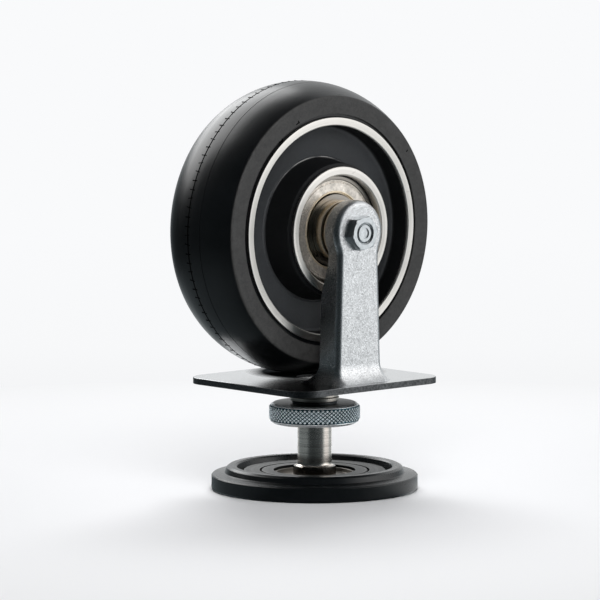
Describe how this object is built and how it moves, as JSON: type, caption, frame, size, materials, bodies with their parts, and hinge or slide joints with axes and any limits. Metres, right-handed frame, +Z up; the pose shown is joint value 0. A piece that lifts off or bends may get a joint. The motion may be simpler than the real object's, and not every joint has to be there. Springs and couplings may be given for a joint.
{
  "type": "levelling castor",
  "caption": "Rubber-tyred wheel on a one-sided pressed leg and plate, above a threaded levelling spindle with a knurled lock nut and a round swivelling foot.",
  "frame": {"origin": "centre of the foot's underside, on the spindle's axis", "axes": "+Z up along the spindle; the wheel turns about +Y; the leg and the axle nut are on the -Y side"},
  "size_m": [0.15, 0.106, 0.2095],
  "materials": {
    "tyre": "moulded black rubber, faint sheen on the crown",
    "casting": "matt black paint over the casting",
    "turned_rim": "bare turned face with fine turning marks",
    "bearing_steel": "ground bearing steel",
    "shield_steel": "warm, mottled pressed sheet",
    "cage_steel": "pressed strip",
    "spacer_steel": "warm turned steel",
    "zinc_sheet": "satin zinc plating with a mottled grain",
    "zinc_fastener": "bluish bright zinc plating",
    "plate_steel": "bright zinc plating, glossy on top",
    "boss_steel": "warm turned steel",
    "spindle_steel": "smooth warm nickel-like finish",
    "foot_body": "charcoal moulding, satin lip",
    "foot_ring_steel": "dark grey turned ring",
    "cup_steel": "warm grey turned cup",
    "glide_nylon": "natural nylon",
    "sole_rubber": "plain rubber pad"
  },
  "bodies": {
    "foot": {"foot_disc": "foot_body", "foot_sole": "sole_rubber", "foot_ring": "foot_ring_steel", "glide_washer": "glide_nylon"},
    "swivel": {"swivel_cup": "cup_steel", "swivel_ring": "foot_ring_steel"},
    "spindle_body": {"spindle": "spindle_steel", "spindle_clip": "cage_steel"},
    "bracket": {"plate": "plate_steel", "leg": "zinc_sheet", "threaded_boss": "boss_steel", "collar_washer": "boss_steel", "axle_bolt": "zinc_fastener", "axle_nut": "zinc_fastener", "leg_spacer": "spacer_steel", "axle_bush": "spacer_steel", "race_spacer": "spacer_steel", "thrust_washer": "zinc_fastener", "inner_race_front": "bearing_steel", "inner_race_back": "bearing_steel"},
    "lock_washer_body": {"lock_washer": "zinc_fastener"},
    "lock_nut_body": {"lock_nut": "zinc_fastener"},
    "wheel": {"tyre": "tyre", "wheel_centre": "casting", "rim_ring_front": "turned_rim", "rim_ring_back": "turned_rim", "hub_ring_front": "turned_rim", "hub_ring_back": "turned_rim", "outer_race_front": "bearing_steel", "outer_race_back": "bearing_steel", "shield_front": "shield_steel", "shield_back": "shield_steel"},
    "ball_set_front": {"balls_front": "bearing_steel", "cage_front": "cage_steel"},
    "ball_set_back": {"balls_back": "bearing_steel", "cage_back": "cage_steel"}
  },
  "joints": [
    {"name": "foot_swivel", "type": "hinge", "parent": "foot", "child": "swivel", "pos_m": [0, 0, 0.006], "axis": [0, 0, 1], "continuous": true},
    {"name": "spindle_turn", "type": "hinge", "parent": "swivel", "child": "spindle_body", "pos_m": [0, 0, 0.03], "axis": [0, 0, 1], "range_deg": [-1080, 0]},
    {"name": "height_slide", "type": "slide", "parent": "swivel", "child": "bracket", "axis": [0, 0, 1], "range_m": [0, 0.0045]},
    {"name": "lock_slide", "type": "slide", "parent": "spindle_body", "child": "lock_washer_body", "axis": [0, 0, 1], "range_m": [-0.01, 0]},
    {"name": "lock_turn", "type": "hinge", "parent": "lock_washer_body", "child": "lock_nut_body", "pos_m": [0, 0, 0.04], "axis": [0, 0, 1], "range_deg": [-2400, 0]},
    {"name": "wheel_spin", "type": "hinge", "parent": "bracket", "child": "wheel", "pos_m": [0, 0.0108, 0.1345], "axis": [0, 1, 0], "continuous": true},
    {"name": "ball_spin_front", "type": "hinge", "parent": "bracket", "child": "ball_set_front", "pos_m": [0, 0, 0.1345], "axis": [0, 1, 0], "continuous": true},
    {"name": "ball_spin_back", "type": "hinge", "parent": "bracket", "child": "ball_set_back", "pos_m": [0, 0.02, 0.1345], "axis": [0, 1, 0], "continuous": true}
  ],
  "couplings": [
    {"joint": "spindle_turn", "follows": "height_slide", "rad_per_m": -4188.8},
    {"joint": "lock_turn", "follows": "lock_slide", "rad_per_m": 4188.8},
    {"joint": "ball_spin_front", "follows": "wheel_spin", "ratio": 0.5847},
    {"joint": "ball_spin_back", "follows": "wheel_spin", "ratio": 0.5847}
  ]
}
